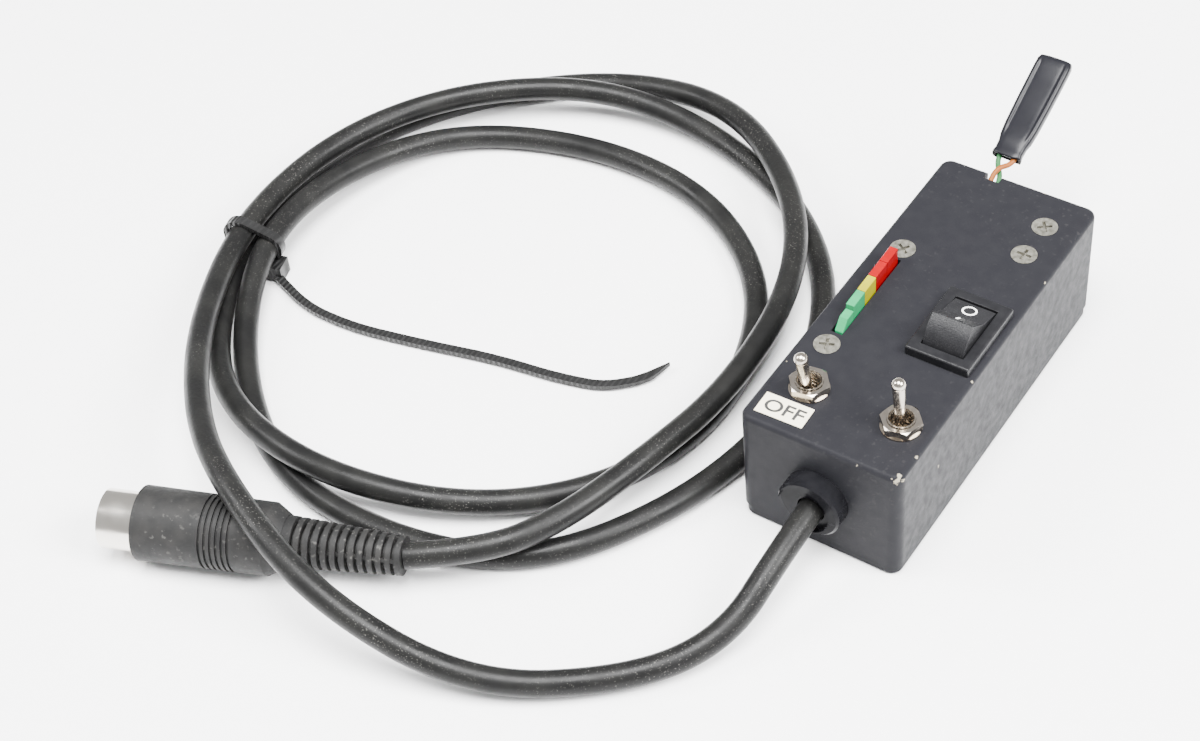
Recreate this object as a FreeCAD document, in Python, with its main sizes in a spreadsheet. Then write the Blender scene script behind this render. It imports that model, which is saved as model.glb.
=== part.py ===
import FreeCAD, Part
import Sketcher
import math
import os

# Hand controller: a black project box with two toggle switches, a rocker
# switch and a bar of five indicator blocks on its panel, a sleeved component
# on two stiff wires behind it, and a lead that ends in a five-pin round plug.
# Millimetres, +Z up, origin under the middle of the box. The gland end faces
# -Y and the plug lies out to -X, so X runs across the box and Y along it.

Vector = FreeCAD.Vector
Rotation = FreeCAD.Rotation

DIMENSIONS = {
    # project box
    "case_width": 38.0,
    "case_length": 92.0,
    "case_height": 31.0,
    "wall": 2.0,
    "case_corner": 2.6,
    "panel_edge": 1.2,
    "lid_thickness": 3.0,
    "lid_inset": 0.3,
    "pillar": 5.0,
    "pillar_bore": 1.2,
    "lid_screw_x": 14.3,
    "lid_screw_y": 41.3,
    # countersunk panel screws and what they clamp
    "screw_head": 2.9,
    "screw_shank": 1.5,
    "screw_cone": 1.4,
    "screw_length": 10.0,
    "panel_screw_hole": 1.6,
    "left_screw_x": -12.9,
    "left_screw_near": -19.4,
    "left_screw_far": 14.2,
    "right_screw_x": 11.0,
    "right_screw_near": 25.3,
    "right_screw_far": 35.4,
    "spacer_height": 4.0,
    "spacer_radius": 2.4,
    "board_thickness": 1.6,
    "board_width": 7.6,
    "board_length": 41.0,
    "board_y": -2.5,
    "strip_width": 7.0,
    "strip_length": 17.0,
    "screw_nut_height": 2.4,
    "screw_nut_radius": 3.17,
    # indicator bar
    "led_width": 2.0,
    "led_length": 5.0,
    "led_pitch": 5.1,
    "led_height": 7.0,
    "led_rise": 3.5,
    "led_x": -12.75,
    "led_far_y": 7.9,
    "slot_width": 2.8,
    "slot_length": 26.2,
    "slot_y": -2.45,
    # toggle switches
    "toggle_left_x": -9.6,
    "toggle_right_x": 12.0,
    "toggle_y": -32.5,
    "toggle_hole": 3.1,
    "toggle_thread": 3.0,
    "toggle_bore": 2.4,
    "toggle_mouth": 2.7,
    "bushing_length": 9.0,
    "toggle_nut": 4.62,
    "toggle_nut_height": 2.0,
    "washer_radius": 4.4,
    "washer_thickness": 0.4,
    "toggle_body_width": 8.0,
    "toggle_body_length": 13.2,
    "toggle_body_height": 10.5,
    "pivot_depth": 5.3,
    "lever_ball": 2.3,
    "lever_root": 1.0,
    "lever_end": 1.4,
    "lever_tip": 1.5,
    "lever_reach": 14.6,
    "lever_tail": 5.0,
    # rocker switch
    "rocker_x": 10.1,
    "rocker_y": -3.4,
    "bezel_width": 15.0,
    "bezel_length": 21.0,
    "bezel_height": 2.3,
    "rocker_body_width": 13.0,
    "rocker_body_length": 19.2,
    "rocker_body_depth": 12.0,
    "rocker_mouth_width": 10.0,
    "rocker_mouth_length": 16.0,
    "rocker_key_width": 9.6,
    "rocker_pin": 1.0,
    "rocker_pivot_rise": 0.2,
    # printed label
    "label_x": -10.95,
    "label_y": -40.55,
    "label_width": 11.2,
    "label_length": 5.8,
    "label_thickness": 0.15,
    # strain-relief bushing in the front wall
    "gland_z": 15.7,
    "gland_head": 7.3,
    "gland_rise": 4.3,
    "gland_neck": 6.2,
    "gland_hole": 6.3,
    "lead_z": 14.5,
    "lead_hole": 3.2,
    "lead_radius": 2.9,
    # heat-shrink sleeve and its wires
    "sleeve_x": -6.7,
    "sleeve_y": 52.5,
    "sleeve_z": 31.2,
    "sleeve_width": 8.4,
    "sleeve_length": 26.9,
    "sleeve_height": 3.2,
    "sleeve_wall": 0.6,
    "wire_radius": 0.6,
    "notch_x": -6.3,
    "notch_width": 3.8,
    "notch_depth": 3.6,
    # round plug
    "plug_x": -70.4,
    "plug_y": -98.1,
    "plug_z": 8.3,
    "boot_length": 26.0,
    "boot_tip": 4.3,
    "boot_root": 5.6,
    "plug_shoulder": 3.5,
    "plug_body_length": 33.0,
    "plug_body_small": 8.0,
    "plug_body_large": 8.3,
    "shell_length": 8.4,
    "shell_radius": 6.6,
    "shell_wall": 0.5,
    "shell_seat": 3.0,
    "pin_radius": 0.75,
    "pin_circle": 3.5,
    # cable tie
    "tie_gap": 3.2,
    "tie_thickness": 1.1,
    "tie_width": 2.5,
    "tie_tail_width": 2.1,
}

PLUG_YAW = 200.9
SLEEVE_PITCH = 24.5
LEVER_THROW = 12.5
RIGHT_LEVER_LEAN = 3.0
LED_SKEW = 1.0

# The lead's route, from the bushing, round the loose loops, to the plug's boot.
LEAD_ROUTE = [
    (0, -47, 14.5), (0, -61, 13.5), (-2, -80, 4.5), (-14, -98, 2.9),
    (-41, -117, 4.5), (-75, -121, 16), (-105, -111, 22),
    (-128, -96, 19), (-151, -69, 13.5), (-167, -34, 10),
    (-166, 2, 9.5), (-149, 32, 9), (-119, 52, 8),
    (-87, 55, 3), (-54, 41, 2.9), (-32, 16, 2.9), (-23, -18, 2.9),
    (-29, -52, 2.9), (-48, -83, 2.9), (-79, -93, 2.9), (-114, -90, 2.9),
    (-143, -67, 3.5), (-160, -37, 8.5), (-160, -6, 7), (-146, 24, 2.9),
    (-111, 37, 2.9), (-76, 34, 2.9), (-48, 13, 2.9), (-36, -20, 2.9),
    (-43, -53, 2.9), (-67, -78, 4.5), (-101, -90, 9.5),
    (-134, -83, 9), (-157, -58, 5), (-169, -24, 4),
    (-166, 11, 2.9), (-148, 40, 2.9), (-119, 62, 2.9),
    (-85, 61, 8.5), (-55, 39, 10.5), (-39, 12, 10), (-35, -24, 9.5),
    (-41, -54, 9.5), (-47, -75, 9.5), (-56, -89, 9),
    (-70.4, -98.1, 8.3),
]

# The tie holds three strands: centres across the bundle and above the floor.
TIE_CENTRE = (-163.0, -38.0)
TIE_YAW = 16.0
TIE_STRANDS = [(-1.0, 4.4), (5.0, 7.8), (-1.1, 10.6)]
TIE_TAIL = [
    (-153.8, -39.6, 1.5), (-141, -44.2, 1.3), (-127, -44, 1.3),
    (-110, -40.5, 1.3), (-92, -36, 1.3), (-76, -33.8, 1.3),
    (-65, -31, 1.3), (-58, -24.5, 1.3), (-55.5, -17.5, 1.3),
]

document = FreeCAD.newDocument("hand_controller")
sheet = document.addObject("Spreadsheet::Sheet", "dims")
parts = []


def fill_sheet():
    for row, (alias, value) in enumerate(DIMENSIONS.items(), start=1):
        sheet.set(f"A{row}", alias)
        sheet.set(f"B{row}", str(value))
        sheet.setAlias(f"B{row}", alias)
    document.recompute()


def size(alias):
    return DIMENSIONS[alias]


def bind(thing, cells):
    for path, formula in cells.items():
        thing.setExpression(path, formula)


def cells(formula):
    """Put the sheet's name before every alias in a formula."""
    words = formula.replace("(", " ( ").replace(")", " ) ").split()
    return " ".join(f"dims.{word}" if word in DIMENSIONS else word for word in words)


def place(thing, x="0", y="0", z="0", rotation=None):
    if rotation:
        thing.Placement = FreeCAD.Placement(Vector(), rotation)
    for axis, formula in zip("xyz", (x, y, z)):
        if formula != "0":
            thing.setExpression(f"Placement.Base.{axis}", cells(formula))


def keep(thing, label):
    thing.Label = label
    parts.append(thing)
    return thing


def primitive(kind, name, sizes, x="0", y="0", z="0", rotation=None):
    thing = document.addObject(f"Part::{kind}", name)
    bind(thing, {path: cells(formula) for path, formula in sizes.items()})
    place(thing, x, y, z, rotation)
    return thing


def box(name, width, length, height, x, y, z):
    """A box centred on x and y, standing on z."""
    sizes = {"Length": width, "Width": length, "Height": height}
    corner_x = f"{x} - ( {width} ) / 2"
    corner_y = f"{y} - ( {length} ) / 2"
    return primitive("Box", name, sizes, corner_x, corner_y, z)


def cylinder(name, radius, height, x="0", y="0", z="0", rotation=None):
    sizes = {"Radius": radius, "Height": height}
    return primitive("Cylinder", name, sizes, x, y, z, rotation)


def cone(name, lower, upper, height, x="0", y="0", z="0"):
    sizes = {"Radius1": lower, "Radius2": upper, "Height": height}
    return primitive("Cone", name, sizes, x, y, z)


def hexagon(name, radius, height, x="0", y="0", z="0", turn=0.0):
    thing = document.addObject("Part::Prism", name)
    thing.Polygon = 6
    bind(thing, {"Circumradius": cells(radius), "Height": cells(height)})
    place(thing, x, y, z, Rotation(Vector(0, 0, 1), turn))
    return thing


def cut(name, base, *tools):
    for number, tool in enumerate(tools):
        last = number == len(tools) - 1
        result = document.addObject("Part::Cut", name if last else f"{name}_{number}")
        result.Base = base
        result.Tool = tool
        base = result
    return base


def join(name, shapes):
    result = document.addObject("Part::MultiFuse", name)
    result.Shapes = shapes
    return result


def group(name, shapes):
    result = document.addObject("Part::Compound", name)
    result.Links = shapes
    return result


# Sketched bodies


def new_body(label):
    body = document.addObject("PartDesign::Body", label)
    return keep(body, label)


def origin_plane(body, role):
    for feature in body.Origin.OriginFeatures:
        if feature.Role == role:
            return feature
    raise ValueError(role)


def new_sketch(body, name, role, height="0"):
    sketch = body.newObject("Sketcher::SketchObject", name)
    sketch.AttachmentSupport = [(origin_plane(body, role), "")]
    sketch.MapMode = "FlatFace"
    if height != "0":
        sketch.setExpression("AttachmentOffset.Base.z", cells(height))
    return sketch


def locate(sketch, geometry, point, x, y):
    """Hold a point at x and y from the sketch's origin."""
    for kind, formula in (("DistanceX", x), ("DistanceY", y)):
        if formula == "0":
            axis = -2 if kind == "DistanceX" else -1
            sketch.addConstraint(Sketcher.Constraint("PointOnObject", geometry, point, axis))
        else:
            rule = Sketcher.Constraint(kind, -1, 1, geometry, point, 1.0)
            index = sketch.addConstraint(rule)
            sketch.setExpression(f"Constraints[{index}]", cells(formula))


def draw_circle(sketch, x, y, radius):
    circle = sketch.addGeometry(Part.Circle(Vector(1, 1, 0), Vector(0, 0, 1), 1.0), False)
    index = sketch.addConstraint(Sketcher.Constraint("Radius", circle, 1.0))
    sketch.setExpression(f"Constraints[{index}]", cells(radius))
    locate(sketch, circle, 3, x, y)


def draw_rectangle(sketch, x, y, width, length):
    """A rectangle centred on x and y."""
    corners = [Vector(0, 0, 0), Vector(1, 0, 0), Vector(1, 1, 0), Vector(0, 1, 0)]
    sides = [Part.LineSegment(corners[i], corners[(i + 1) % 4]) for i in range(4)]
    first = sketch.addGeometry(sides, False)[0]
    for i in range(4):
        after = first + (i + 1) % 4
        sketch.addConstraint(Sketcher.Constraint("Coincident", first + i, 2, after, 1))
        level = "Horizontal" if i % 2 == 0 else "Vertical"
        sketch.addConstraint(Sketcher.Constraint(level, first + i))
    across = sketch.addConstraint(Sketcher.Constraint("DistanceX", first, 1, first, 2, 1.0))
    sketch.setExpression(f"Constraints[{across}]", cells(width))
    along = Sketcher.Constraint("DistanceY", first + 1, 1, first + 1, 2, 1.0)
    sketch.setExpression(f"Constraints[{sketch.addConstraint(along)}]", cells(length))
    locate(sketch, first, 1, f"{x} - ( {width} ) / 2", f"{y} - ( {length} ) / 2")


def extrude(body, kind, name, sketch, depth, reversed_way=False):
    feature = body.newObject(f"PartDesign::{kind}", name)
    feature.Profile = sketch
    feature.Reversed = reversed_way
    feature.setExpression("Length", cells(depth))
    document.recompute()
    return feature


def edges_of(shape, wanted):
    return [f"Edge{i}" for i, edge in enumerate(shape.Edges, start=1) if wanted(edge)]


def soften(body, kind, name, edges, amount):
    base = body.Tip
    feature = body.newObject(f"PartDesign::{kind}", name)
    feature.Base = (base, edges)
    path = "Radius" if kind == "Fillet" else "Size"
    feature.setExpression(path, cells(amount))
    document.recompute()
    return feature


def is_upright(edge):
    low, high = edge.BoundBox.ZMin, edge.BoundBox.ZMax
    return high - low > 1 and edge.BoundBox.XLength + edge.BoundBox.YLength < 0.01


def lies_at(edge, height):
    bounds = edge.BoundBox
    return abs(bounds.ZMin - height) < 0.01 and abs(bounds.ZMax - height) < 0.01


# Tubes: straight runs joined by tangent arcs


def smooth_wire(points, report=None):
    """Round every point of a route, as far as its two runs allow."""
    places = [Vector(*point) for point in points]
    edges = []
    radii = []
    start = places[0]
    for before, here, after in zip(places, places[1:], places[2:]):
        inward, outward = before - here, after - here
        shorter = min(inward.Length, outward.Length)
        turn = math.pi - inward.getAngle(outward)
        inward.normalize()
        outward.normalize()
        radius = 0.45 * shorter / math.tan(turn / 2)
        middle = (inward + outward).normalize()
        swell = radius / math.cos(turn / 2) - radius
        first = here + inward * 0.45 * shorter
        last = here + outward * 0.45 * shorter
        edges.append(Part.LineSegment(start, first).toShape())
        edges.append(Part.Arc(first, here + middle * swell, last).toShape())
        radii.append(radius)
        start = last
    edges.append(Part.LineSegment(start, places[-1]).toShape())
    if report:
        print(report, "bend radii", [round(radius, 1) for radius in radii])
    return Part.Wire(edges)


def sweep(wire, profile):
    return wire.makePipeShell([profile], True, False)


def round_tube(points, radius, report=None):
    wire = smooth_wire(points, report)
    start = Vector(*points[0])
    heading = Vector(*points[1]) - start
    circle = Part.Wire([Part.Circle(start, heading, radius).toShape()])
    tube = sweep(wire, circle)
    expected = math.pi * radius**2 * wire.Length
    if report:
        print(report, "length", round(wire.Length, 1))
        print(report, "volume over section x length", round(tube.Volume / expected, 4))
    return tube


def shaped(label, shape, placement=None):
    thing = document.addObject("Part::Feature", label)
    thing.Shape = shape
    if placement:
        thing.Placement = placement
    return keep(thing, label)


# Project box


def case_shell():
    body = new_body("case_shell")
    outline = new_sketch(body, "shell_outline", "XY_Plane", "lid_thickness")
    draw_rectangle(outline, "0", "0", "case_width", "case_length")
    extrude(body, "Pad", "shell_block", outline, "case_height - lid_thickness")
    upright = edges_of(body.Tip.Shape, is_upright)
    soften(body, "Fillet", "shell_corners", upright, "case_corner")
    rim = edges_of(body.Tip.Shape, lambda edge: lies_at(edge, size("case_height")))
    soften(body, "Fillet", "panel_rim", rim, "panel_edge")

    cavity = new_sketch(body, "cavity_outline", "XY_Plane", "lid_thickness")
    inner = ("case_width - 2 * wall", "case_length - 2 * wall")
    draw_rectangle(cavity, "0", "0", *inner)
    depth = "case_height - lid_thickness - wall"
    extrude(body, "Pocket", "cavity", cavity, depth, True)

    pillars = new_sketch(body, "pillar_outline", "XY_Plane", "lid_thickness")
    bores = new_sketch(body, "pillar_bores", "XY_Plane", "lid_thickness")
    for side_x in ("1", "-1"):
        for side_y in ("1", "-1"):
            x = f"{side_x} * ( case_width / 2 - wall - pillar / 2 + 0.2 )"
            y = f"{side_y} * ( case_length / 2 - wall - pillar / 2 + 0.2 )"
            draw_rectangle(pillars, x, y, "pillar", "pillar")
            at_x, at_y = f"{side_x} * lid_screw_x", f"{side_y} * lid_screw_y"
            draw_circle(bores, at_x, at_y, "pillar_bore")
    extrude(body, "Pad", "pillars", pillars, depth)
    extrude(body, "Pocket", "screw_bores", bores, "16", True)

    round_holes = new_sketch(body, "panel_round_holes", "XY_Plane", "case_height")
    draw_circle(round_holes, "toggle_left_x", "toggle_y", "toggle_hole")
    draw_circle(round_holes, "toggle_right_x", "toggle_y", "toggle_hole")
    for x, y in panel_screw_places():
        draw_circle(round_holes, x, y, "panel_screw_hole")
    extrude(body, "Pocket", "drilled_panel", round_holes, "wall + 1")

    cutouts = new_sketch(body, "panel_cutouts", "XY_Plane", "case_height")
    opening = ("rocker_body_width + 0.2", "rocker_body_length + 0.2")
    draw_rectangle(cutouts, "rocker_x", "rocker_y", *opening)
    draw_rectangle(cutouts, "led_x", "slot_y", "slot_width", "slot_length")
    extrude(body, "Pocket", "filed_panel", cutouts, "wall + 1")

    def is_screw_rim(edge):
        radius = getattr(edge.Curve, "Radius", 0)
        top = lies_at(edge, size("case_height"))
        return top and abs(radius - size("panel_screw_hole")) < 0.01

    rims = edges_of(body.Tip.Shape, is_screw_rim)
    soften(body, "Chamfer", "countersinks", rims, "screw_head - panel_screw_hole + 0.1")

    gland = new_sketch(body, "gland_hole_outline", "XZ_Plane", "case_length / 2")
    draw_circle(gland, "0", "gland_z", "gland_hole")
    extrude(body, "Pocket", "gland_hole_through", gland, "wall + 1")

    notch = new_sketch(body, "notch_outline", "XZ_Plane", "-1 * case_length / 2 + wall + 0.6")
    draw_rectangle(notch, "notch_x", "case_height", "notch_width", "2 * notch_depth")
    extrude(body, "Pocket", "wire_notch", notch, "wall + 2")


def base_lid():
    body = new_body("base_lid")
    outline = new_sketch(body, "lid_outline", "XY_Plane")
    width = "case_width - 2 * lid_inset"
    length = "case_length - 2 * lid_inset"
    draw_rectangle(outline, "0", "0", width, length)
    extrude(body, "Pad", "lid_plate", outline, "lid_thickness")
    upright = edges_of(body.Tip.Shape, is_upright)
    soften(body, "Fillet", "lid_corners", upright, "case_corner")
    under = edges_of(body.Tip.Shape, lambda edge: lies_at(edge, 0))
    soften(body, "Fillet", "lid_rim", under, "panel_edge / 2")
    holes = new_sketch(body, "lid_holes", "XY_Plane")
    recesses = new_sketch(body, "lid_recesses", "XY_Plane")
    for x, y in lid_screw_places():
        draw_circle(holes, x, y, "panel_screw_hole")
        draw_circle(recesses, x, y, "screw_head + 0.1")
    extrude(body, "Pocket", "lid_drilling", holes, "lid_thickness", True)
    extrude(body, "Pocket", "lid_counterbores", recesses, "screw_cone + 0.1", True)


def lid_screw_places():
    return [(f"{a} * lid_screw_x", f"{b} * lid_screw_y") for a in (1, -1) for b in (1, -1)]


def panel_screw_places():
    left = [("left_screw_x", "left_screw_near"), ("left_screw_x", "left_screw_far")]
    right = [("right_screw_x", "right_screw_near"), ("right_screw_x", "right_screw_far")]
    return left + right


def lid_screws():
    screws = []
    for number, (x, y) in enumerate(lid_screw_places()):
        head = cylinder(f"lid_screw_head_{number}", "screw_head", "screw_cone", x, y, "0.1")
        shank = cylinder(f"lid_screw_shank_{number}", "pillar_bore", "9", x, y, "1")
        screws.append(join(f"lid_screw_{number}", [head, shank]))
    keep(group("lid_screws", screws), "lid_screws")


def panel_screws():
    screws = []
    for number, (x, y) in enumerate(panel_screw_places()):
        head = cone(
            f"panel_screw_head_{number}", "screw_shank", "screw_head", "screw_cone",
            x, y, "case_height - screw_cone",
        )
        shank = cylinder(
            f"panel_screw_shank_{number}", "screw_shank", "screw_length - screw_cone / 2",
            x, y, "case_height - screw_length - screw_cone / 2",
        )
        solid = join(f"panel_screw_solid_{number}", [head, shank])
        turn = 20 + 35 * number
        slots = [
            cross_slot(f"panel_screw_slot_{number}_{arm}", x, y, turn + 90 * arm)
            for arm in range(2)
        ]
        screws.append(cut(f"panel_screw_{number}", solid, *slots))
    keep(group("panel_screws", screws), "panel_screws")


def cross_slot(name, x, y, turn):
    """One arm of a screw's cross recess, turned about the screw."""
    width, reach, depth = 0.7, 3.4, 1.0
    block = document.addObject("Part::Box", f"{name}_block")
    block.Length, block.Width, block.Height = reach, width, depth + 0.5
    block.Placement.Base = Vector(-reach / 2, -width / 2, -depth)
    arm = group(name, [block])
    place(arm, x, y, "case_height", Rotation(Vector(0, 0, 1), turn))
    return arm


def ring(name, outer, inner, height, x, y, z):
    return cut(
        name,
        cylinder(f"{name}_outer", outer, height, x, y, z),
        cylinder(f"{name}_inner", inner, height, x, y, z),
    )


def panel_spacers():
    z = "case_height - wall - spacer_height"
    rings = []
    for number, (x, y) in enumerate(panel_screw_places()):
        name = f"spacer_{number}"
        hole = "screw_shank + 0.05"
        rings.append(ring(name, "spacer_radius", hole, "spacer_height", x, y, z))
    keep(group("panel_spacers", rings), "panel_spacers")


def panel_nuts():
    z = "case_height - wall - spacer_height - board_thickness - screw_nut_height"
    nuts = []
    for number, (x, y) in enumerate(panel_screw_places()):
        name = f"panel_nut_{number}"
        outer = hexagon(f"{name}_hex", "screw_nut_radius", "screw_nut_height", x, y, z, 15 * number)
        hole = cylinder(f"{name}_hole", "screw_shank + 0.05", "screw_nut_height", x, y, z)
        nuts.append(cut(name, outer, hole))
    keep(group("panel_nuts", nuts), "panel_nuts")


def circuit_board(name, width, length, x, y, screws):
    z = "case_height - wall - spacer_height - board_thickness"
    plate = box(f"{name}_plate", width, length, "board_thickness", x, y, z)
    holes = [
        cylinder(f"{name}_hole_{number}", "panel_screw_hole", "board_thickness", at_x, at_y, z)
        for number, (at_x, at_y) in enumerate(screws)
    ]
    keep(cut(name, plate, *holes), name)


def tag_strip_tags():
    z = "case_height - wall - spacer_height - board_thickness - 3"
    tags = []
    for number in range(3):
        y = f"( right_screw_near + right_screw_far ) / 2 + {number - 1} * 2.2"
        tag = box(f"tag_{number}", "1.4", "0.6", "3", "right_screw_x - 2.2", y, z)
        tags.append(tag)
    keep(group("tag_strip_tags", tags), "tag_strip_tags")


# Indicator bar


def led_blocks():
    names = ("led_red_far", "led_red_near", "led_yellow", "led_green_far")
    skew = Rotation(Vector(0, 0, 1), LED_SKEW)
    for number, name in enumerate(names):
        block = primitive(
            "Box", name, {"Length": "led_width", "Width": "led_length", "Height": "led_height"},
            f"led_x - led_width / 2 - 0.2 + {number} * 0.1",
            f"led_far_y - led_length / 2 - {number} * led_pitch",
            "case_height + led_rise - led_height",
            skew,
        )
        keep(block, name)


def led_green_near():
    """The last block is set lower, and its front edge slopes."""
    body = new_body("led_green_near")
    profile = new_sketch(body, "green_profile", "YZ_Plane")
    half = size("led_length") / 2
    low, panel, top = -4.7, 0.0, 2.3
    points = [(-half, low), (half, low), (half, top), (-half + 2.2, top), (-half, panel)]
    corners = [Vector(y, z, 0) for y, z in points]
    count = len(corners)
    sides = [Part.LineSegment(corners[i], corners[(i + 1) % count]) for i in range(count)]
    first = sketch_first(profile, sides)
    for i in range(count):
        after = first + (i + 1) % count
        profile.addConstraint(Sketcher.Constraint("Coincident", first + i, 2, after, 1))
    for i in range(count):
        profile.addConstraint(Sketcher.Constraint("Block", first + i))
    pad = extrude(body, "Pad", "green_block", profile, "led_width")
    pad.SideType = "Symmetric"
    body.Placement = FreeCAD.Placement(Vector(), Rotation(Vector(0, 0, 1), LED_SKEW))
    place_body(body, "led_x + 0.2", "led_far_y - 4 * led_pitch", "case_height")


def sketch_first(sketch, sides):
    return sketch.addGeometry(sides, False)[0]


def place_body(body, x, y, z):
    for axis, formula in zip("xyz", (x, y, z)):
        body.setExpression(f"Placement.Base.{axis}", cells(formula))


def led_leads():
    leads = []
    for number in range(5):
        for side in (-1, 1):
            name = f"led_lead_{number}_{'ab'[side > 0]}"
            y = f"led_far_y - {number} * led_pitch + {side} * 1.27"
            z = "case_height - wall - spacer_height"
            tall = "2.5" if number < 4 else "1.3"
            leads.append(box(name, "0.5", "0.5", tall, "led_x", y, z))
    keep(group("led_leads", leads), "led_leads")


# Toggle switches


def toggle_switch(side, x, nut_turn, lever_turn):
    name = f"toggle_{side}"
    y = "toggle_y"
    mouth = "case_height + toggle_mouth"
    foot = f"{mouth} - bushing_length"

    barrel = cylinder(f"{name}_barrel", "toggle_thread", "bushing_length", x, y, foot)
    bore = cylinder(f"{name}_bore", "toggle_bore", "bushing_length", x, y, foot)
    lip = cone(
        f"{name}_lip", "toggle_bore", "toggle_bore + 0.3", "0.3", x, y, f"{mouth} - 0.3",
    )
    keep(cut(f"{name}_bushing", barrel, bore, lip), f"{name}_bushing")

    toggle_nut(f"{name}_nut", x, y, "case_height + washer_thickness", nut_turn)
    washer = ring(
        f"{name}_washer", "washer_radius", "toggle_thread + 0.05", "washer_thickness", x, y, "case_height",
    )
    keep(washer, f"{name}_washer")
    under = "case_height - wall - toggle_nut_height"
    toggle_nut(f"{name}_back_nut", x, y, under, nut_turn + 20)

    base = f"{foot} - toggle_body_height"
    block = box(
        f"{name}_block", "toggle_body_width", "toggle_body_length", "toggle_body_height", x, y, base,
    )
    well = cylinder(f"{name}_well", "toggle_bore", "3.5", x, y, f"{foot} - 3.5")
    keep(cut(f"{name}_body", block, well), f"{name}_body")

    tabs = []
    for number in range(3):
        at = f"{y} + {number - 1} * 4.7"
        tabs.append(box(f"{name}_tab_{number}", "2", "0.8", "4", x, at, f"{base} - 4"))
    keep(group(f"{name}_terminals", tabs), f"{name}_terminals")

    keep(toggle_lever(name), f"{name}_lever")
    lever = parts[-1]
    place(lever, x, y, f"{mouth} - pivot_depth", lever_turn)


def toggle_nut(name, x, y, z, turn):
    """A hex nut, with its corners turned off above and below."""
    block = hexagon(f"{name}_hex", "toggle_nut", "toggle_nut_height", x, y, z, turn)
    narrow, wide = "toggle_nut - 0.5", "toggle_nut - 0.5 + 1.73 * toggle_nut_height"
    lower = cone(f"{name}_lower", narrow, wide, "toggle_nut_height", x, y, z)
    upper = cone(f"{name}_upper", wide, narrow, "toggle_nut_height", x, y, z)
    outer = document.addObject("Part::MultiCommon", f"{name}_turned")
    outer.Shapes = [block, lower, upper]
    hole = cylinder(f"{name}_hole", "toggle_thread + 0.05", "toggle_nut_height", x, y, z)
    keep(cut(name, outer, hole), name)


def toggle_lever(name):
    """A bat lever about its ball, upright before it is placed."""
    ball = primitive("Sphere", f"{name}_ball", {"Radius": "lever_ball"})
    arm = cone(f"{name}_arm", "lever_root", "lever_end", "lever_reach", z="0")
    tip = primitive("Sphere", f"{name}_tip", {"Radius": "lever_tip"}, z="lever_reach")
    tail = cylinder(f"{name}_tail", "lever_root - 0.1", "lever_tail", z="-1 * lever_tail")
    return join(f"{name}_lever", [ball, arm, tip, tail])


# Rocker switch


def rocker_housing():
    x, y = "rocker_x", "rocker_y"
    bezel = box("bezel_plate", "bezel_width", "bezel_length", "bezel_height", x, y, "case_height")
    bezel_edge = document.addObject("Part::Fillet", "bezel_softened")
    bezel_edge.Base = bezel
    document.recompute()
    above = size("case_height") + 0.1
    outer = [
        index for index, edge in enumerate(bezel.Shape.Edges, start=1)
        if edge.BoundBox.ZMax > above
    ]
    bezel_edge.Edges = [(index, 0.5, 0.5) for index in outer]
    block = box(
        "rocker_block", "rocker_body_width", "rocker_body_length", "rocker_body_depth + 0.1",
        x, y, "case_height - rocker_body_depth",
    )
    mouth = box(
        "rocker_mouth", "rocker_mouth_width", "rocker_mouth_length", "rocker_body_depth + 4",
        x, y, "case_height - rocker_body_depth + 2",
    )
    across = Rotation(Vector(0, 1, 0), 90)
    pivot = cylinder(
        "rocker_pivot_bore", "rocker_pin + 0.05", "rocker_mouth_width + 2",
        f"{x} - rocker_mouth_width / 2 - 1", y, "case_height + rocker_pivot_rise", across,
    )
    solid = join("rocker_solid", [bezel_edge, block])
    keep(cut("rocker_housing", solid, mouth, pivot), "rocker_housing")


def rocker_actuator():
    """A key about its pivot: arcs at both ends and two slopes on top."""
    end = 7.7
    high, low, under = (113.0, 190.0), (15.8, -10.0), 3.5

    def on_arc(angle):
        turn = math.radians(angle)
        return Vector(end * math.cos(turn), end * math.sin(turn), 0)

    body = new_body("rocker_actuator")
    profile = new_sketch(body, "key_profile", "YZ_Plane")
    crest, front = on_arc(high[0]), on_arc(high[1])
    rear, back = on_arc(low[0]), on_arc(low[1])
    valley = Vector(1.4, 3.8, 0)
    bottom = [Vector(-5, -under, 0), Vector(5, -under, 0)]
    outline = [
        Part.Arc(crest, on_arc(sum(high) / 2), front),
        Part.LineSegment(front, bottom[0]),
        Part.LineSegment(bottom[0], bottom[1]),
        Part.LineSegment(bottom[1], back),
        Part.Arc(back, on_arc(sum(low) / 2), rear),
        Part.LineSegment(rear, valley),
        Part.LineSegment(valley, crest),
    ]
    first = sketch_first(profile, outline)
    for index in range(first, first + len(outline)):
        profile.addConstraint(Sketcher.Constraint("Block", index))
    pad = extrude(body, "Pad", "key_block", profile, "rocker_key_width")
    pad.SideType = "Symmetric"
    pins = new_sketch(body, "key_pins", "YZ_Plane")
    draw_circle(pins, "0", "0", "rocker_pin")
    pin = extrude(body, "Pad", "key_pivot", pins, "rocker_mouth_width + 1.6")
    pin.SideType = "Symmetric"
    place_body(body, "rocker_x", "rocker_y", "case_height + rocker_pivot_rise")


def rocker_terminals():
    blades = []
    for number, side in enumerate((-1, 1)):
        y = f"rocker_y + {side} * 4"
        z = "case_height - rocker_body_depth - 6"
        blades.append(box(f"rocker_blade_{number}", "4.8", "0.8", "6", "rocker_x", y, z))
    keep(group("rocker_terminals", blades), "rocker_terminals")


# Label, strain relief and lead


def off_label():
    turn = Rotation(Vector(0, 0, 1), 1.7)
    label = primitive(
        "Box", "off_label",
        {"Length": "label_width", "Width": "label_length", "Height": "label_thickness"},
        "label_x - label_width / 2", "label_y - label_length / 2", "case_height", turn,
    )
    keep(label, "off_label")


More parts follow.
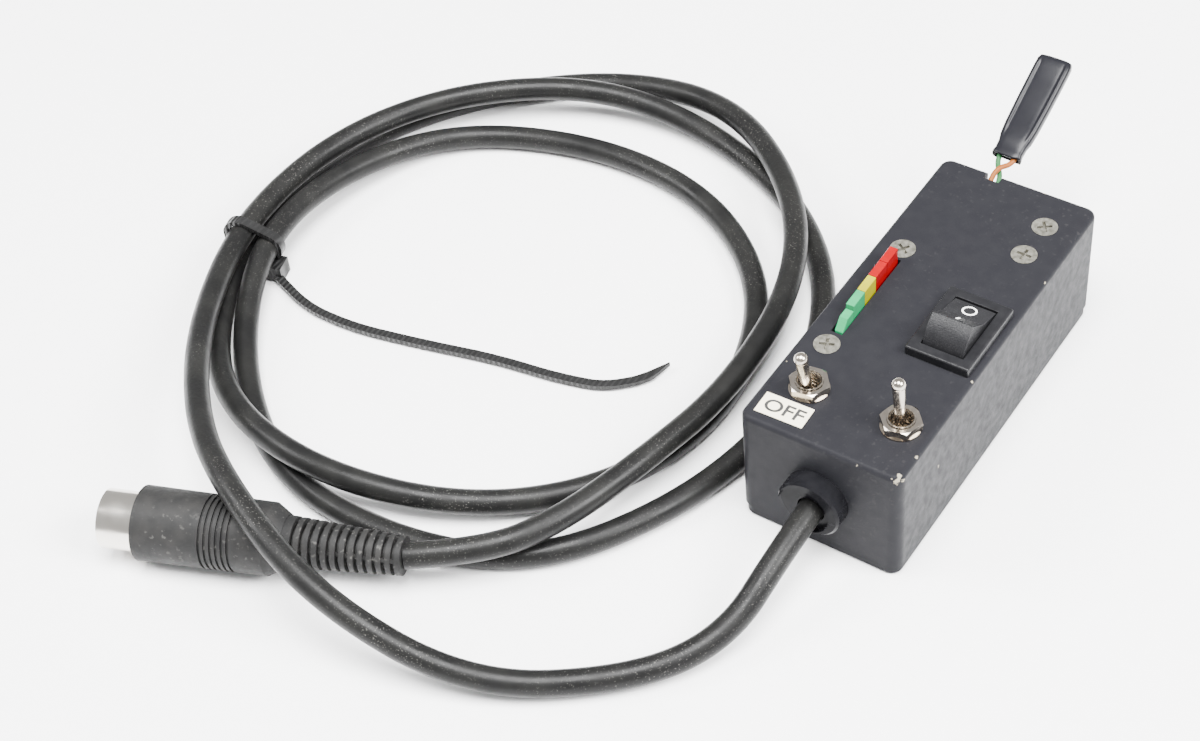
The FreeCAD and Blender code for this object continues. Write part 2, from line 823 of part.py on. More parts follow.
def strain_relief():
    inward = Rotation(Vector(1, 0, 0), -90)
    face = "-1 * case_length / 2 - gland_rise"
    rim = primitive(
        "Cone", "gland_rim",
        {"Radius1": "gland_head - 0.5", "Radius2": "gland_head", "Height": "0.5"},
        "0", face, "gland_z", inward,
    )
    head = cylinder(
        "gland_head", "gland_head", "gland_rise - 0.5", "0", f"{face} + 0.5", "gland_z", inward,
    )
    neck = cylinder(
        "gland_neck", "gland_neck", "gland_rise + 6", "0", face, "gland_z", inward,
    )
    catch = cylinder(
        "gland_catch", "gland_neck + 0.5", "1.2",
        "0", "-1 * case_length / 2 + wall + 0.05", "gland_z", inward,
    )
    dish = cylinder("gland_dish", "gland_head - 1.2", "1.4", "-1.2", face, "gland_z - 0.9", inward)
    bore = cylinder("gland_bore", "lead_hole", "20", "0", face, "lead_z", inward)
    slot = box(
        "gland_slot", "5", "5.6", "10", "0", "-1 * case_length / 2 + 3.6", "lead_z + 2",
    )
    solid = join("gland_solid", [rim, head, neck, catch])
    keep(cut("bushing_body", solid, dish, bore, slot), "bushing_body")
    clamp = box(
        "bushing_clamp", "4.8", "4.4", "2.6", "0", "-1 * case_length / 2 + 3.4", "lead_z + lead_radius",
    )
    keep(clamp, "bushing_clamp")
    sheath = cylinder(
        "lead_inner_end", "lead_radius", "10", "0", "-47", "lead_z", inward,
    )
    keep(sheath, "lead_inner_end")


def lead():
    shaped("lead", round_tube(LEAD_ROUTE, size("lead_radius"), "lead"))


def lead_cores():
    """The lead's five cores: three to the tags, one to each toggle."""
    z = size("lead_z")
    start = -37.0
    strip_y = (size("right_screw_near") + size("right_screw_far")) / 2
    tag_x, tag_z = size("right_screw_x") - 2.2, 20.3
    tab_z = size("case_height") + size("toggle_mouth") - size("bushing_length")
    tab_z -= size("toggle_body_height") + 4
    shapes = []
    for number in range(3):
        x = 1.4 * (number - 1)
        y = strip_y + 2.2 * (number - 1)
        route = [
            (x, start, z - 1.4), (x, start + 6, z - 2.5), (x, start + 14, 6.5),
            (x + 1, 0, 5.5), (tag_x - 2, y - 8, 6.5), (tag_x, y, 13), (tag_x, y + 0.3, tag_z),
        ]
        shapes.append(round_tube(route, 0.55))
    for side, x in ((-1, size("toggle_left_x")), (1, size("toggle_right_x"))):
        y = size("toggle_y")
        route = [
            (side * 1.2, start, z + 1.1), (side * 2, start + 4, z - 1), (side * 3.6, y + 9, 7),
            (x - side * 1.5, y + 4, 5.2), (x, y + 0.4, 6.5), (x, y, tab_z),
        ]
        shapes.append(round_tube(route, 0.55))
    shaped("lead_cores", Part.makeCompound(shapes))


# Heat-shrink sleeve on its two wires


def sleeve():
    tilt = Rotation(Vector(1, 0, 0), SLEEVE_PITCH)
    outer = primitive(
        "Box", "sleeve_block",
        {"Length": "sleeve_width", "Width": "sleeve_length", "Height": "sleeve_height"},
    )
    soft = document.addObject("Part::Fillet", "sleeve_soft")
    soft.Base = outer
    document.recompute()
    far = size("sleeve_length")
    long_or_far = [
        index for index, edge in enumerate(outer.Shape.Edges, start=1)
        if edge.BoundBox.YMax > far - 0.1
    ]
    soft.Edges = [(index, 1.1, 1.1) for index in long_or_far]
    hollow = primitive(
        "Box", "sleeve_hollow",
        {
            "Length": "sleeve_width - 2 * sleeve_wall",
            "Width": "sleeve_length - 2 * sleeve_wall",
            "Height": "sleeve_height - 2 * sleeve_wall",
        },
        "sleeve_wall", "0", "sleeve_wall",
    )
    skin = keep(cut("heat_shrink_sleeve", soft, hollow), "heat_shrink_sleeve")
    inner = primitive(
        "Box", "sleeved_component",
        {
            "Length": "sleeve_width - 2 * sleeve_wall - 0.2",
            "Width": "sleeve_length - 8",
            "Height": "sleeve_height - 2 * sleeve_wall - 0.2",
        },
    )
    keep(inner, "sleeved_component")
    place(skin, "sleeve_x - sleeve_width / 2", "sleeve_y", "sleeve_z - sleeve_height / 2", tilt)
    ahead = 5.0
    rise, run = math.sin(math.radians(SLEEVE_PITCH)), math.cos(math.radians(SLEEVE_PITCH))
    gap = size("sleeve_wall") + 0.1
    place(
        inner, "sleeve_x - sleeve_width / 2 + sleeve_wall + 0.1",
        f"sleeve_y + {ahead * run - gap * rise:.3f}",
        f"sleeve_z - sleeve_height / 2 + {ahead * rise + gap * run:.3f}", tilt,
    )


def sensor_wires():
    x, y, z = size("sleeve_x"), size("sleeve_y"), size("sleeve_z")
    rear = size("case_length") / 2
    beige = [
        (-7.2, rear - 8, 27), (-7.3, rear - 2.5, 28.1), (-6.9, rear + 1.6, 31.1),
        (x + 2.0, y - 1.7, z - 0.45), (x + 1.9, y + 3.5, z + 1.75),
    ]
    green = [
        (-5.4, rear - 8, 27), (-5.3, rear - 2.5, 28.1), (-5.7, rear + 1.2, 29.2),
        (x - 1.7, y - 1.9, z - 0.85), (x - 1.9, y + 3.5, z + 1.75),
    ]
    shaped("wire_beige", round_tube(beige, size("wire_radius")))
    shaped("wire_green", round_tube(green, size("wire_radius")))


# Cable tie


def belt_outline(radius):
    """The loop of a strap pulled round the strands, seen along them."""
    centres = [Vector(u, 0, z) for u, z in TIE_STRANDS]
    count = len(centres)
    outward = []
    for i in range(count):
        way = centres[(i + 1) % count] - centres[i]
        outward.append(Vector(way.z, 0, -way.x).normalize())
    edges = []
    for i in range(count):
        after = (i + 1) % count
        start = centres[i] + outward[i] * radius
        end = centres[after] + outward[i] * radius
        halfway = (outward[i] + outward[after]).normalize()
        turn_end = centres[after] + outward[after] * radius
        edges.append(Part.LineSegment(start, end).toShape())
        edges.append(Part.Arc(end, centres[after] + halfway * radius, turn_end).toShape())
    return Part.Wire(edges)


def belt(radius):
    face = Part.Face(belt_outline(radius))
    return face.extrude(Vector(0, size("tie_width"), 0))


def tie_band():
    """A strap around three strands, with its square head."""
    inner = size("tie_gap")
    strap = belt(inner + size("tie_thickness")).cut(belt(inner))
    head = Part.makeBox(3.8, 4.8, 4.2, Vector(5.8, -3.2, 0.3))
    shape = strap.fuse(head.cut(belt(inner)))
    turn = Rotation(Vector(0, 0, 1), TIE_YAW)
    back = turn.multVec(Vector(0, -size("tie_width") / 2, 0))
    shape.Placement = FreeCAD.Placement(Vector(*TIE_CENTRE, 0) + back, turn)
    return shape


def tie_tail():
    start, after = Vector(*TIE_TAIL[0]), Vector(*TIE_TAIL[1])
    way = (after - start).normalize()
    aside = Vector(0, 0, 1).cross(way) * (size("tie_tail_width") / 2)
    up = Vector(0, 0, size("tie_thickness") / 2)
    corners = [start + aside + up, start - aside + up, start - aside - up, start + aside - up]
    return sweep(smooth_wire(TIE_TAIL, "tie tail"), Part.makePolygon(corners + corners[:1]))


def pointed(tail):
    """Trim the tail's free end to a point."""
    tip = Vector(*TIE_TAIL[-1])
    back = Vector(*TIE_TAIL[-2]) - tip
    yaw = math.degrees(math.atan2(back.y, back.x))
    half_angle = 9
    for side in (1, -1):
        block = Part.makeBox(7, 4, 4, Vector(0, 0 if side > 0 else -4, -2))
        turn = Rotation(Vector(0, 0, 1), yaw + side * half_angle)
        block.Placement = FreeCAD.Placement(tip - back.normalize() * 0.8, turn)
        tail = tail.cut(block)
    return tail


def cable_tie():
    whole = tie_band().fuse(pointed(tie_tail())).removeSplitter()
    shaped("cable_tie", whole)


# Round plug, built along its axis from the boot's free end


def at_plug(thing):
    turn = Rotation(Vector(0, 0, 1), PLUG_YAW).multiply(Rotation(Vector(0, 1, 0), 90))
    place(thing, "plug_x", "plug_y", "plug_z", turn)


def plug_boot():
    core = cone("boot_core", "boot_tip - 1.3", "boot_root - 1.6", "boot_length")
    rings = [core]
    count = 13
    pitch = size("boot_length") / count
    for number in range(count):
        share = number / (count - 1)
        radius = f"boot_tip + ( boot_root - boot_tip ) * {share:.4f}"
        start = f"{number * pitch:.2f}" if number else "0"
        thick = "1.15" if number < count - 1 else f"{pitch:.2f}"
        rings.append(cylinder(f"boot_ring_{number}", radius, thick, z=start))
    for number in range(4):
        web = document.addObject("Part::Box", f"boot_web_{number}")
        bind(web, {"Length": cells("boot_tip - 0.2"), "Height": cells("boot_length")})
        web.Width = 0.9
        turn = Rotation(Vector(0, 0, 1), 90 * number + 30)
        web.Placement = FreeCAD.Placement(turn.multVec(Vector(0, -0.45, 0)), turn)
        rings.append(web)
    boot = keep(join("plug_boot", rings), "plug_boot")
    at_plug(boot)


def plug_body():
    shoulder = cone(
        "plug_shoulder_cone", "boot_root + 0.2", "plug_body_small", "plug_shoulder", z="boot_length",
    )
    barrel = cone(
        "plug_barrel", "plug_body_small", "plug_body_large", "plug_body_length - plug_shoulder",
        z="boot_length + plug_shoulder",
    )
    solid = join("plug_solid", [shoulder, barrel])
    grooves = []
    for number in range(6):
        z = f"boot_length + 10.6 + {number} * 1.3"
        grooves.append(ring(
            f"plug_groove_{number}", "plug_body_large + 1", "plug_body_small - 0.4", "0.55", "0", "0", z,
        ))
    seat = cylinder(
        "plug_seat", "shell_radius - 0.2", "shell_seat", z="boot_length + plug_body_length - shell_seat",
    )
    body = keep(cut("plug_body", solid, seat, *grooves), "plug_body")
    at_plug(body)


def plug_metal():
    start = "boot_length + plug_body_length - shell_seat"
    long = "shell_length + shell_seat"
    face = "boot_length + plug_body_length"
    seated = cylinder("shell_seated", "shell_radius - 0.2", "shell_seat + 0.1", z=start)
    exposed = cylinder("shell_exposed", "shell_radius", "shell_length", z=face)
    inside = cylinder("shell_inside", "shell_radius - shell_wall", long, z=start)
    tube = cut("shell_tube", join("shell_outside", [seated, exposed]), inside)
    key = cylinder(
        "shell_key", "1", "shell_length", "shell_radius + 0.2", "0", "boot_length + plug_body_length",
    )
    shell = keep(cut("plug_shell", tube, key), "plug_shell")
    at_plug(shell)
    disc = cylinder("insert_disc", "shell_radius - shell_wall", "shell_seat", z=start)
    at_plug(keep(group("plug_insert", [disc]), "plug_insert"))
    pins = []
    reach = f"{start} + shell_seat"
    for number in range(5):
        turn = math.radians(45 * number - 90)
        x = f"pin_circle * {math.cos(turn):.5f}"
        y = f"pin_circle * {math.sin(turn):.5f}"
        pins.append(cylinder(f"pin_{number}", "pin_radius", "shell_length - 1", x, y, reach))
    at_plug(keep(group("plug_pins", pins), "plug_pins"))


def build():
    fill_sheet()
    case_shell()
    base_lid()
    lid_screws()
    panel_screws()
    panel_spacers()
    panel_nuts()
    left, right = panel_screw_places()[:2], panel_screw_places()[2:]
    circuit_board("indicator_board", "board_width", "board_length", "left_screw_x", "board_y", left)
    middle = "( right_screw_near + right_screw_far ) / 2"
    circuit_board("tag_strip", "strip_width", "strip_length", "right_screw_x", middle, right)
    tag_strip_tags()
    led_blocks()
    led_green_near()
    led_leads()
    across, along = Vector(1, 0, 0), Vector(0, 1, 0)
    toggle_switch("left", "toggle_left_x", 8.3, Rotation(across, LEVER_THROW))
    toggle_switch("right", "toggle_right_x", 12.7, Rotation(along, -RIGHT_LEVER_LEAN))
    rocker_housing()
    rocker_actuator()
    rocker_terminals()
    off_label()
    strain_relief()
    lead()
    lead_cores()
    sleeve()
    sensor_wires()
    cable_tie()
    plug_boot()
    plug_body()
    plug_metal()
    document.recompute()


def check_and_write():
    for thing in document.Objects:
        if "Invalid" in thing.State or "Error" in thing.State:
            raise RuntimeError(f"{thing.Name}: {thing.State}")
    for thing in parts:
        if thing.Shape.isNull() or not thing.Shape.isValid():
            raise RuntimeError(f"{thing.Label} has no valid shape")
    os.makedirs("parts", exist_ok=True)
    for thing in parts:
        thing.Shape.exportStep(f"parts/{thing.Label}.step")
        print(thing.Label, round(thing.Shape.Volume, 1))
    print(len(parts), "sub-parts")


build()
check_and_write()
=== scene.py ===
import math

import bmesh
import bpy
from mathutils import Euler, Matrix, Vector


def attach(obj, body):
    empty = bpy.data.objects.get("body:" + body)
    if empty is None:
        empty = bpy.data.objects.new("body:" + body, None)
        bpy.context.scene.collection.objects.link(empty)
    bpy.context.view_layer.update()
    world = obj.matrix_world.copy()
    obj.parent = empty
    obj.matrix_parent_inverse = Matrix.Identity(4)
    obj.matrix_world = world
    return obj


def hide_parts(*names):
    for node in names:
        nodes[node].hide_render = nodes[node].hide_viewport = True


MM = 0.001
LEAD_RADIUS = 2.9
DUST = (0.3, 0.29, 0.27)
BARE_PLASTIC = (0.26, 0.235, 0.18)

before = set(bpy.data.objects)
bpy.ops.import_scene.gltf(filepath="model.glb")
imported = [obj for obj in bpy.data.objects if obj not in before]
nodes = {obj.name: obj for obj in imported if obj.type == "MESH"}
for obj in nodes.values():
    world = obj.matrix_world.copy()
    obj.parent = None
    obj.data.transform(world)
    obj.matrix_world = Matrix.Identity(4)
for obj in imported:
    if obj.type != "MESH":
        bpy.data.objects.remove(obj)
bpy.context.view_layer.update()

# The lead's route, as the CAD has it, in millimetres.
LEAD_ROUTE = [
    (0, -47, 14.5), (0, -61, 13.5), (-2, -80, 4.5), (-14, -98, 2.9),
    (-41, -117, 4.5), (-75, -121, 16), (-105, -111, 22),
    (-128, -96, 19), (-151, -69, 13.5), (-167, -34, 10),
    (-166, 2, 9.5), (-149, 32, 9), (-119, 52, 8),
    (-87, 55, 3), (-54, 41, 2.9), (-32, 16, 2.9), (-23, -18, 2.9),
    (-29, -52, 2.9), (-48, -83, 2.9), (-79, -93, 2.9), (-114, -90, 2.9),
    (-143, -67, 3.5), (-160, -37, 8.5), (-160, -6, 7), (-146, 24, 2.9),
    (-111, 37, 2.9), (-76, 34, 2.9), (-48, 13, 2.9), (-36, -20, 2.9),
    (-43, -53, 2.9), (-67, -78, 4.5), (-101, -90, 9.5),
    (-134, -83, 9), (-157, -58, 5), (-169, -24, 4),
    (-166, 11, 2.9), (-148, 40, 2.9), (-119, 62, 2.9),
    (-85, 61, 8.5), (-55, 39, 10.5), (-39, 12, 10), (-35, -24, 9.5),
    (-41, -54, 9.5), (-47, -75, 9.5), (-56, -89, 9),
    (-70.4, -98.1, 8.3),
]

# Worn spots on the box: a place in millimetres and how far the wear reaches.
CHIPS = [
    (18.2, -45.1, 30.3, 3.6), (18.7, -38, 30.7, 1.2), (18.8, -14, 30.6, 1.2),
    (18.8, -29, 19, 1.5), (18.7, 20, 30.7, 1.3), (6, 45.7, 30.7, 1.8),
    (14, 45.7, 30.7, 1.6), (-14, 45.7, 30.7, 1.2), (9, -45.6, 30.6, 1.2),
    (-17.6, -28, 30.8, 1.0),
]


# Camera, light and floor

def add_camera():
    place = (163.4, -324.4, 392.2)
    azimuth, depression, roll = 37.94, 46.04, -6.18
    data = bpy.data.cameras.new("camera")
    data.lens = 70.95
    data.sensor_width = 36
    data.clip_start = 0.01
    camera = bpy.data.objects.new("camera", data)
    bpy.context.scene.collection.objects.link(camera)
    heading = Euler((math.radians(90 - depression), 0, math.radians(azimuth))).to_matrix()
    tilt = Matrix.Rotation(math.radians(roll), 3, "Z")
    camera.matrix_world = Matrix.Translation(Vector(place) * MM) @ (heading @ tilt).to_4x4()
    bpy.context.scene.camera = camera


def add_area(name, location, target, size, power):
    data = bpy.data.lights.new(name, "AREA")
    data.shape = "DISK"
    data.size = size
    data.energy = power
    light = bpy.data.objects.new(name, data)
    bpy.context.scene.collection.objects.link(light)
    light.location = location
    way = Vector(target) - Vector(location)
    light.rotation_euler = way.to_track_quat("-Z", "Y").to_euler()


def add_stage():
    mesh = bpy.data.meshes.new("floor")
    reach = 4
    corners = [(-reach, -reach, 0), (reach, -reach, 0), (reach, reach, 0), (-reach, reach, 0)]
    mesh.from_pydata(corners, [], [(0, 1, 2, 3)])
    floor = bpy.data.objects.new("floor", mesh)
    floor.location.z = -0.0001
    bpy.context.scene.collection.objects.link(floor)
    mesh.materials.append(make_material("floor_white", (0.97, 0.97, 0.975), 0.6))
    world = bpy.data.worlds.new("studio")
    world.use_nodes = True
    background = world.node_tree.nodes["Background"]
    background.inputs["Color"].default_value = (1, 1, 1, 1)
    background.inputs["Strength"].default_value = 0.75
    bpy.context.scene.world = world
    add_area("key", (0.9, 0.1, 0.9), (0.05, 0, 0), 0.7, 50)
    add_area("top", (0.1, -0.25, 1.4), (-0.05, 0, 0), 0.9, 92)
    add_area("fill", (-0.9, -0.5, 0.9), (-0.1, 0, 0), 0.6, 22)


# Materials

def make_material(
    name, base, rough, metal=0.0, tint=None, amount=0.5, scale=300, bump=0.0,
    bump_scale=1500, coat=0.0, dust=0.0, dust_scale=900, ripple=0.0, ripple_scale=0,
    ripple_axis="Z", painted_glow=0.0, chips=(), spec=0.5, vary=1.0,
):
    """Principled surface: blotches of a second colour, dust specks and fine relief."""
    material = bpy.data.materials.new(name)
    material.use_nodes = True
    tree = material.node_tree
    shader = tree.nodes["Principled BSDF"]
    place = tree.nodes.new("ShaderNodeTexCoord").outputs["Object"]

    def noise(size, detail=4.0):
        node = tree.nodes.new("ShaderNodeTexNoise")
        node.inputs["Scale"].default_value = size
        node.inputs["Detail"].default_value = detail
        tree.links.new(place, node.inputs["Vector"])
        return node.outputs["Fac"]

    def remap(value, low, high, to_low=0.0, to_high=1.0):
        node = tree.nodes.new("ShaderNodeMapRange")
        sizes = (low, high, to_low, to_high)
        for socket, number in zip(("From Min", "From Max", "To Min", "To Max"), sizes):
            node.inputs[socket].default_value = number
        tree.links.new(value, node.inputs["Value"])
        return node.outputs["Result"]

    def blend(first, second, factor):
        node = tree.nodes.new("ShaderNodeMix")
        node.data_type = "RGBA"
        tree.links.new(factor, node.inputs[0])
        for socket, colour in ((node.inputs[6], first), (node.inputs[7], second)):
            if isinstance(colour, tuple):
                socket.default_value = (*colour, 1)
            else:
                tree.links.new(colour, socket)
        return node.outputs[2]

    other = tint or tuple(min(1, part * 1.25 + 0.004) for part in base)
    colour = blend(base, other, remap(noise(scale), 0.38, 0.68, 0, amount))
    if dust:
        specks = remap(noise(dust_scale, 2), 0.62, 0.7, 0, 1)
        patches = remap(noise(35, 3), 0.4, 0.7, 0, dust)
        both = tree.nodes.new("ShaderNodeMath")
        both.operation = "MULTIPLY"
        tree.links.new(specks, both.inputs[0])
        tree.links.new(patches, both.inputs[1])
        colour = blend(colour, DUST, both.outputs[0])
    for x, y, z, reach in chips:
        away = tree.nodes.new("ShaderNodeVectorMath")
        away.operation = "DISTANCE"
        away.inputs[1].default_value = Vector((x, y, z)) * MM
        tree.links.new(place, away.inputs[0])
        near = remap(away.outputs["Value"], reach * MM, 0, 0, 0.6)
        torn = tree.nodes.new("ShaderNodeMath")
        torn.operation = "ADD"
        tree.links.new(near, torn.inputs[0])
        tree.links.new(noise(900, 4), torn.inputs[1])
        colour = blend(colour, BARE_PLASTIC, remap(torn.outputs[0], 0.92, 0.96))
    tree.links.new(colour, shader.inputs["Base Color"])
    smoothest = max(0.03, rough - 0.07 * vary)
    roughest = rough + 0.08 * vary
    rough_map = remap(noise(scale * 1.7), 0.3, 0.7, smoothest, roughest)
    tree.links.new(rough_map, shader.inputs["Roughness"])
    shader.inputs["Metallic"].default_value = metal
    shader.inputs["Coat Weight"].default_value = coat
    shader.inputs["Specular IOR Level"].default_value = spec
    # Emission on a part that is no lamp: painted glow that brightens the surface colour.
    if painted_glow:
        shader.inputs["Emission Color"].default_value = (*base, 1)
        shader.inputs["Emission Strength"].default_value = painted_glow
    if bump:
        relief = tree.nodes.new("ShaderNodeBump")
        relief.inputs["Strength"].default_value = bump
        relief.inputs["Distance"].default_value = 0.0001
        tree.links.new(noise(bump_scale, 5), relief.inputs["Height"])
        last = relief
        if ripple:
            wave = tree.nodes.new("ShaderNodeTexWave")
            wave.bands_direction = ripple_axis
            wave.inputs["Scale"].default_value = ripple_scale
            tree.links.new(place, wave.inputs["Vector"])
            ribs = tree.nodes.new("ShaderNodeBump")
            ribs.inputs["Strength"].default_value = ripple
            ribs.inputs["Distance"].default_value = 0.0003
            tree.links.new(wave.outputs["Fac"], ribs.inputs["Height"])
            tree.links.new(relief.outputs["Normal"], ribs.inputs["Normal"])
            last = ribs
        tree.links.new(last.outputs["Normal"], shader.inputs["Normal"])
    return material


def paint(obj, material):
    obj.data.materials.clear()
    obj.data.materials.append(material)


def finish_mesh(name, mesh, node, body="case", bevel=0.0):
    """A new object in place of a CAD node, with its edges rounded where a bevel is given."""
    obj = bpy.data.objects.new(name, mesh)
    bpy.context.scene.collection.objects.link(obj)
    if bevel:
        rounding = obj.modifiers.new("soft", "BEVEL")
        rounding.width = bevel * MM
        rounding.segments = 3
        rounding.limit_method = "ANGLE"
        rounding.angle_limit = math.radians(35)
    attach(obj, body)
    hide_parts(node)
    return obj


def soft_copy(node, body, bevel, material):
    """The CAD piece again, with its edges rounded."""
    mesh = nodes[node].data.copy()
    work = bmesh.new()
    work.from_mesh(mesh)
    bmesh.ops.remove_doubles(work, verts=work.verts, dist=1e-6)
    bmesh.ops.dissolve_limit(work, angle_limit=math.radians(1), verts=work.verts, edges=work.edges)
    work.to_mesh(mesh)
    work.free()
    obj = finish_mesh(node + "_soft", mesh, node, body, bevel)
    paint(obj, material)
    for face in mesh.polygons:
        face.use_smooth = False


# Lead

def add_lead(material):
    curve = bpy.data.curves.new("lead_line", "CURVE")
    curve.dimensions = "3D"
    spline = curve.splines.new("NURBS")
    spline.points.add(len(LEAD_ROUTE) - 1)
    for point, where in zip(spline.points, LEAD_ROUTE):
        point.co = (*(Vector(where) * MM), 1)
    spline.order_u = 3
    spline.use_endpoint_u = True
    spline.resolution_u = 16
    curve.bevel_depth = LEAD_RADIUS * MM
    curve.bevel_resolution = 8
    curve.materials.append(material)
    lead = bpy.data.objects.new("lead_cable", curve)
    bpy.context.scene.collection.objects.link(lead)
    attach(lead, "case")
    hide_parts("lead")


# Sleeve

def add_sleeve(material):
    """Shrunk tubing: lofted rings with a sunk window above and a ragged mouth."""
    pitch = math.radians(24.5)
    along = Vector((0, math.cos(pitch), math.sin(pitch)))
    up = Vector((0, -math.sin(pitch), math.cos(pitch)))
    mouth = Vector((-6.7, 51.84, 31.06))
    count = 64
    # Each ring: distance from the mouth, half width and half thickness.
    stations = [
        (0.0, 3.5, 1.45), (0.4, 3.55, 1.55), (1.5, 3.35, 1.35), (3.5, 3.45, 1.4),
        (5.0, 3.8, 1.6), (8.0, 4.05, 1.6), (14.0, 4.2, 1.6), (20.0, 4.25, 1.6),
        (24.0, 4.25, 1.6), (25.6, 4.2, 1.55), (26.5, 3.9, 1.3), (26.9, 2.9, 0.7),
    ]
    inner = [(5.0, 3.0, 0.95), (0.3, 3.0, 0.95)]
    window_edge, window_depth = 0.9, 0.4

    def ring(u, half, thick, ragged=0.0, sunk=False):
        points = []
        for i in range(count):
            turn = 2 * math.pi * i / count
            c, s = math.cos(turn), math.sin(turn)
            x = math.copysign(abs(c) ** 0.4, c) * half
            z = math.copysign(abs(s) ** 0.55, s) * thick
            inside = half - window_edge - abs(x)
            if sunk and s > 0 and inside > 0:
                z -= window_depth * min(1, inside / window_depth)
            shift = ragged * (math.sin(3 * turn) + 0.5 * math.sin(7 * turn + 1))
            points.append(mouth + Vector((x, 0, 0)) + along * (u + shift) + up * z)
        return points

    rings = [ring(u, h, t) for u, h, t in inner]
    rings.append(ring(0, 3.2, 1.2, 0.15))
    for u, half, thick in stations:
        rings.append(ring(u, half, thick, 0.15 if u < 0.5 else 0, 6 < u < 25))
    verts = [tuple(p * MM) for points in rings for p in points]
    faces = []
    for r in range(len(rings) - 1):
        for i in range(count):
            j = (i + 1) % count
            faces.append((r * count + i, r * count + j, (r + 1) * count + j, (r + 1) * count + i))
    faces.append(tuple(range((len(rings) - 1) * count, len(rings) * count)))
    faces.append(tuple(reversed(range(count))))
    mesh = bpy.data.meshes.new("sleeve")
    mesh.from_pydata(verts, [], faces)
    for face in mesh.polygons:
        face.use_smooth = True
    sleeve = finish_mesh("shrunk_sleeve", mesh, "heat_shrink_sleeve")
    paint(sleeve, material)


# Marks

def add_text_legend(words, size, where, turn, material):
    curve = bpy.data.curves.new("legend", "FONT")
    curve.body = words
    curve.size = size * MM
    curve.extrude = 0.02 * MM
    curve.offset = 0.07 * MM
    curve.align_x = "CENTER"
    curve.align_y = "CENTER"
    curve.materials.append(material)
    text = bpy.data.objects.new("label_legend", curve)
    text.location = Vector(where) * MM
    text.rotation_euler.z = turn
    text.scale.x = 1.15
    bpy.context.scene.collection.objects.link(text)
    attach(text, "case")


def add_key_marks(material):
    """An open ring on the rear slope and a dash on the front slope."""
    pivot = Vector((10.1, -3.4, 31.2))
    key_reach = 7.7

    def on_rim(angle):
        turn = math.radians(angle)
        return (0, key_reach * math.cos(turn), key_reach * math.sin(turn))

    def on_slope(first, last, share):
        a, b = Vector(first), Vector(last)
        point = a.lerp(b, share)
        slope = math.atan2(b.z - a.z, b.y - a.y)
        return pivot + point, slope

    valley = (0, 1.4, 3.8)
    rear, crest = on_rim(15.8), on_rim(113)
    place, slope = on_slope(valley, rear, 0.52)
    work = bmesh.new()
    segments = 48
    outer, inner, raised = 1.85, 1.4, 0.05
    loops = []
    for radius, height in ((outer, 0.0), (outer, raised), (inner, raised), (inner, 0.0)):
        loop = []
        for i in range(segments):
            turn = 2 * math.pi * i / segments
            spot = Vector((radius * 0.9 * math.cos(turn), radius * math.sin(turn), height))
            loop.append(work.verts.new(spot * MM))
        loops.append(loop)
    for a, b in zip(loops, loops[1:] + loops[:1]):
        for i in range(segments):
            j = (i + 1) % segments
            work.faces.new((a[i], a[j], b[j], b[i]))
    tilt = Matrix.Rotation(slope, 4, "X")
    bmesh.ops.transform(work, matrix=Matrix.Translation(place * MM) @ tilt, verts=work.verts)
    place, slope = on_slope(crest, valley, 0.5)
    bar = bmesh.ops.create_cube(work, size=1)["verts"]
    bmesh.ops.scale(work, vec=Vector((0.6, 1.9, 0.08)) * MM, verts=bar)
    tilt = Matrix.Rotation(slope, 4, "X")
    bmesh.ops.transform(work, matrix=Matrix.Translation(place * MM) @ tilt, verts=bar)
    bmesh.ops.recalc_face_normals(work, faces=work.faces)
    mesh = bpy.data.meshes.new("key_marks")
    work.to_mesh(mesh)
    work.free()
    marks = bpy.data.objects.new("key_marks", mesh)
    bpy.context.scene.collection.objects.link(marks)
    paint(marks, material)
    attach(marks, "rocker_actuator")


# Finishes and pieces

